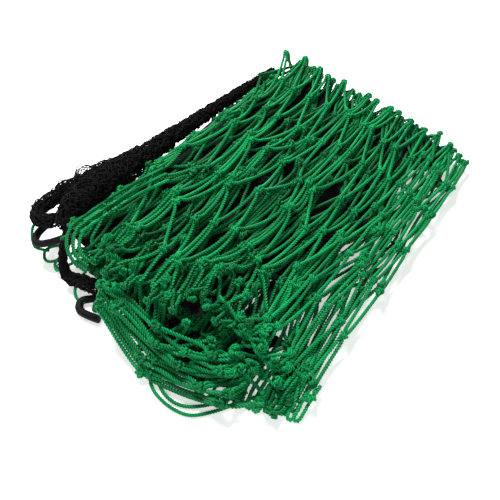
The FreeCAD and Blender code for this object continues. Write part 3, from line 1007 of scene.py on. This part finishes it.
def border_rope(name, route, node, material):
    points = ground(route) * MM
    curve = bpy.data.curves.new(name, "CURVE")
    curve.dimensions = "3D"
    spline = curve.splines.new("NURBS")
    spline.points.add(len(points) - 1)
    for stop, point in zip(spline.points, points):
        stop.co = (*point, 1)
    spline.order_u = 3
    spline.use_endpoint_u = True
    spline.resolution_u = 12
    curve.bevel_depth = ROPE / 2 * MM
    curve.bevel_resolution = 5
    curve.use_fill_caps = True
    curve.materials.append(material)
    rope = add_object(name, curve)
    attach(rope, "base")
    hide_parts(node)


# --- Stage ---


# The camera's place from the near left corner, its directions and its lens, from a fit to the photograph.
CAMERA_PLACE = (230.6, -86.7, 227.8)
CAMERA_AHEAD = (-0.3778, 0.504, -0.776)
CAMERA_RIGHT = (0.8012, 0.598, -0.002)
CAMERA_LENS = 31.8


def make_camera():
    """At the photograph's viewing angle: from the near right, high up."""
    place = CORNER + np.array(CAMERA_PLACE)
    ahead = unit(np.array(CAMERA_AHEAD))
    right = np.array(CAMERA_RIGHT)
    right = unit(right - ahead * (right @ ahead))
    up = np.cross(right, ahead)
    data = bpy.data.cameras.new("camera")
    data.lens = CAMERA_LENS
    data.clip_start = 0.01
    camera = add_object("camera", data)
    turn = Matrix([[right[i], up[i], -ahead[i], place[i] * MM] for i in range(3)] + [[0, 0, 0, 1]])
    camera.matrix_world = turn
    bpy.context.scene.camera = camera


def add_light(name, place, size, power):
    data = bpy.data.lights.new(name, "AREA")
    data.size = size
    data.energy = power
    light = add_object(name, data)
    light.location = place
    back = np.array(place) / np.linalg.norm(place)
    light.rotation_mode = "QUATERNION"
    light.rotation_quaternion = Vector(back).to_track_quat("Z", "Y")


def make_stage():
    bpy.ops.mesh.primitive_plane_add(size=6, location=(0, 0, 0))
    floor = bpy.context.object
    floor.name = "floor"
    material, tree, shader = new_material("pale_floor")
    shader.inputs["Base Color"].default_value = (0.95, 0.95, 0.95, 1)
    shader.inputs["Roughness"].default_value = 0.9
    shader.inputs["Emission Color"].default_value = (1, 1, 1, 1)
    shader.inputs["Emission Strength"].default_value = 0.5
    floor.data.materials.append(material)
    world = bpy.data.worlds.new("studio")
    world.use_nodes = True
    # White all round at the horizon, and dimmer overhead so that the gaps in the net stay dark.
    tree = world.node_tree
    sky = tree.nodes["Background"]
    sky.inputs["Color"].default_value = (1, 1, 1, 1)
    direction = add_node(tree, "ShaderNodeTexCoord")
    height = add_node(tree, "ShaderNodeSeparateXYZ", [(direction.outputs["Generated"], "Vector")])
    light = add_node(tree, "ShaderNodeMapRange", [(height.outputs["Z"], "Value")])
    light.inputs["From Min"].default_value = 0.1
    light.inputs["From Max"].default_value = 0.5
    light.inputs["To Min"].default_value = 0.95
    light.inputs["To Max"].default_value = 0.18
    tree.links.new(light.outputs[0], sky.inputs["Strength"])
    bpy.context.scene.world = world
    add_light("key", (-0.55, 0.25, 1.1), 0.36, 24.0)
    add_light("fill", (0.7, -0.9, 0.9), 0.9, 5.0)
    bpy.context.scene.view_settings.view_transform = "Standard"


# --- Put together ---


# Ring spacing in bars and in knots, in millimetres, for each piece of netting.
NET_DETAIL = {
    "top_netting": (0.75, 0.9),
    "top_netting_inner": (1.0, 1.3),
    "far_bend_outer": (0.75, 0.9),
    "far_bend_middle": (0.9, 1.1),
    "far_bend_inner": (0.9, 1.1),
    "middle_netting": (1.5, 1.8),
    "lower_netting": (1.1, 1.3),
    "bottom_netting": (1.5, 1.8),
    "side_netting": (1.0, 1.2),
    "near_swag": (0.75, 0.9),
    "left_drape": (0.8, 1.0),
}
# How light the twine is: a random tone per bar within each range, and painted shade that makes the pieces
# inside the stack darker than the ones on top.
NET_TONE_AND_SHADE = {
    "top_netting": (0.5, 1.0),
    "far_bend_outer": (0.5, 1.0),
    "near_swag": (0.25, 0.85),
    "left_drape": (0.4, 0.9),
    "top_netting_inner": (0.0, 0.5),
    "middle_netting": (0.0, 0.4),
}
NET_BODY = {
    "top_netting": ("top_pleat", "net_top_pleat"),
    "top_netting_inner": ("top_pleat",),
    "middle_netting": ("middle_pleat", "net_middle_pleat"),
    "lower_netting": ("base", "net_lower_pleat"),
    "bottom_netting": ("base", "net_bottom_pleat"),
    "side_netting": ("base", "net_side_bunch"),
    "left_drape": ("base",),
}
# Depths between which each far bend turns from the middle pleat to the top pleat. Points at these depths
# are worked out, and nothing more is done with them.
BEND_DEPTHS = {"far_bend_outer": (-22.0, -5.0), "far_bend_middle": (-19.0, -7.5), "far_bend_inner": (-16.0,
                                                                                                     -10.5)}
SWAG_HEIGHTS = (12.0, 42.0)


# Loose ends and loops of thinner twine at the stack's left and near sides, in the ground frame. These
# points are partly from a scratch camera fit to the photo, and a rule should replace them.
STRAY_TWINE = 2.4
STRAY_LOOPS = [
    [(-36, 14, 30), (-45.5, 5, 29), (-48.5, -1, 26), (-44, -7.5, 21), (-36, -11, 18), (-28, -6, 15)],
    [(-22, 4, 17), (-29, -3, 16), (-32, -8, 13), (-28, -12, 10), (-23, -10, 9), (-18, -2, 10)],
    [(-12, 5, 13), (-19, -4, 11), (-21, -9, 7), (-15, -12, 6), (-11, -6, 8), (-7, 4, 9)],
    [(5, 3, 9), (9, -8, 9), (12, -16, 7.5), (19, -20, 5), (24, -17, 3), (23, -6, 2.5)],
    [(24, 2, 2.5), (28, -10, 2.2), (33, -18, 1.6), (38, -14, 1.6), (37, -2, 2.5)],
    [(38, 2, 3), (44, -12, 2.2), (50, -19, 1.6), (56, -17, 1.6), (56, -4, 3)],
    [(98, -24, 4), (109, -34, 2), (121, -37, 1.6), (133, -36.5, 1.6), (143, -33, 1.6), (152, -24, 1.6),
     (160, -12, 2), (163, 0, 4)],
    [(104, -22, 5), (114, -31, 2.5), (126, -33.5, 1.6), (137, -30.5, 1.6), (147, -22, 1.8),
     (154, -12, 2.4), (157, 0, 5)],
]
STUB_ROW = ((158.0, -8.0), (197.0, 8.0))
STUBS = 10


def corner_bights(count=3):
    """Long bights, one inside the other, that run down the left edge of the top pleat, turn round its
    near corner and go down under the near fold."""
    loops = []
    for number in range(count):
        inset = 6.5 * number
        share = np.linspace(0, 1, 6)
        turn = math.pi * (1 + 0.6 * share)
        x = 28 + (22 - 0.9 * inset) * np.cos(turn)
        y = 10 + (22 - 0.5 * inset) * np.sin(turn)
        z = 57 + 0.7 * number - 13 * share ** 1.5
        start = [(14 + inset, 90 - 4 * number, 55.5), (8 + inset, 50, 57 + 0.7 * number)]
        loops.append(start + list(zip(x, y, z)))
    return loops


def stub_loops(draw):
    """A row of short bights that hang from the top pleat's near right side to the floor."""
    loops = []
    for share in np.linspace(0, 1, STUBS):
        x, y = (1 - share) * np.array(STUB_ROW[0]) + share * np.array(STUB_ROW[1])
        lean, reach = draw.uniform(-2.5, 2.5), draw.uniform(-1.5, 2.5)
        loops.append([(x - 2, y + 22, 9), (x - 2.2 + lean / 2, y + 8, 5), (x - 1.6 + lean, y - reach, 2),
                      (x + 0.8 + lean, y - reach - 1.8, 1.6), (x + 2.4 + lean, y - reach + 1, 2),
                      (x + 2.6, y + 10, 5), (x + 3, y + 22, 9)])
    return loops


def add_strays(parts, loops, draw, thickness=STRAY_TWINE):
    """Adds loose loops of twine to a piece."""
    for stops in loops:
        stops = np.array(stops, float)
        rough = np.linalg.norm(np.diff(stops, axis=0), axis=1).sum()
        line = curve_matrix(len(stops), int(rough / 0.8)) @ ground(stops)
        parts.add_tubes(line[None], thickness / 2, LAY * thickness / TWINE, RIDGE, draw.uniform(0.4, 1, 1))


def make_netting(material):
    draw = np.random.default_rng(17)
    net = Netting()
    net.add_strip(place_in_stack, stack_limits, stack_piece, len(LEVELS) * PASS_ROWS, COLUMNS, draw,
                  spread=0.26)
    for width, upper, lower, columns, name in ((139, -30.8, -34.5, 9, "lower_netting"),
                                               (102, -38.2, -42.0, 7, "bottom_netting"),
                                               (58, -45.8, -49.5, 4, "bottom_netting")):
        place, limits = base_ring(width, upper, lower, columns, 50 + width)
        net.add_strip(place, limits, lambda row, name=name: name, 2 * PASS_ROWS, columns, draw, closed=True)
    for upper, lower, columns in ((21.5, 16.0, 4), (10.5, 4.0, 5)):
        place, limits = side_ring(upper, lower, columns, int(60 + upper))
        net.add_strip(place, limits, lambda row: "side_netting", 2 * PASS_ROWS - 2, columns, draw,
                      closed=True)
    swag_box = fixed_limits((20.0, -38.0, -80.0), (190.0, 12.0, -8.0))
    drape_box = fixed_limits((-14.0, 4.0, -30.0), (2.0, 292.0, -1.5))
    corner_box = fixed_limits((100.0, -6.0, -80.0), (STACK_WIDTH, FAR_END - 3, -1.2))
    for place, limits, name, rows, columns, spread, least in (
            (place_in_drape, drape_box, "left_drape", PASS_ROWS - 1, DRAPE_COLUMNS, 0.3, 0.9),
            (place_in_swag, swag_box, "near_swag", SWAG_ROWS, SWAG_COLUMNS, 0.2, 0.3),
            (place_in_curtain, swag_box, "near_swag", CURTAIN_ROWS, CURTAIN_COLUMNS, 0.3, 0.3),
            (place_in_corner, corner_box, "top_netting", CORNER_ROWS, CORNER_COLUMNS, 0.2, 0.6)):
        net.add_strip(place, limits, lambda row, name=name: name, rows, columns, draw, spread=spread,
                      least=least)
    settle(net, 260)
    for name, parts in net_pieces(net, draw, NET_DETAIL).items():
        if name == "side_netting":
            add_strays(parts, STRAY_LOOPS, draw)
        if name == "top_netting":
            add_strays(parts, corner_bights(), draw, STRAND)
            add_strays(parts, stub_loops(draw), draw)
        piece = parts.build(name, material)
        if name in NET_BODY:
            finish_piece(piece, NET_BODY[name][0], "green_twine", *NET_BODY[name][1:])
        elif name in BEND_DEPTHS:
            start, end = (tilted(0.0, FAR_CENTRE, depth) * MM for depth in BEND_DEPTHS[name])
            tuple(start)
            tuple(end)
            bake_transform(piece)
        else:
            start, end = (ground((0, 0, height)) * MM for height in SWAG_HEIGHTS)
            tuple(start)
            tuple(end)
            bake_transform(piece)
            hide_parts("net_near_swag")


def make_liner(material):
    liner_sheet(material)
    liner_edge(material)
    for name, stops, seed, threads, cell, bulge in (("liner_side_roll", SIDE_ROLL, 31, 22, 3.6, 1.5),
                                                    ("liner_outer_roll", OUTER_ROLL, 33, 14, 3.2, 1.0),
                                                    ("liner_corner_roll", CORNER_ROLL, 35, 14, 3.2, 1.0)):
        parts = MeshParts()
        add_roll(parts, RoundPath(stops), seed, threads, cell, bulge)
        if name == "liner_outer_roll":
            add_fringe(parts, FRINGE, 8, 2.8, 8.0)
        if name == "liner_corner_roll":
            # The dark backing is partly liner and partly painted shade for the hole under the swag.
            add_liner_and_shade_backing(parts)
        piece = parts.build(name + "_visual", material)
        finish_piece(piece, "base", "black_liner", name)


def main():
    make_camera()
    make_stage()
    rope_look = rope_material()
    twine_look = twine_material()
    liner_look = mesh_material()
    border_rope("border_rope_side_visual", ROPE_SIDE, "border_rope_side", rope_look)
    border_rope("border_rope_near_visual", ROPE_NEAR, "border_rope_near", rope_look)
    make_netting(twine_look)
    make_liner(liner_look)


main()
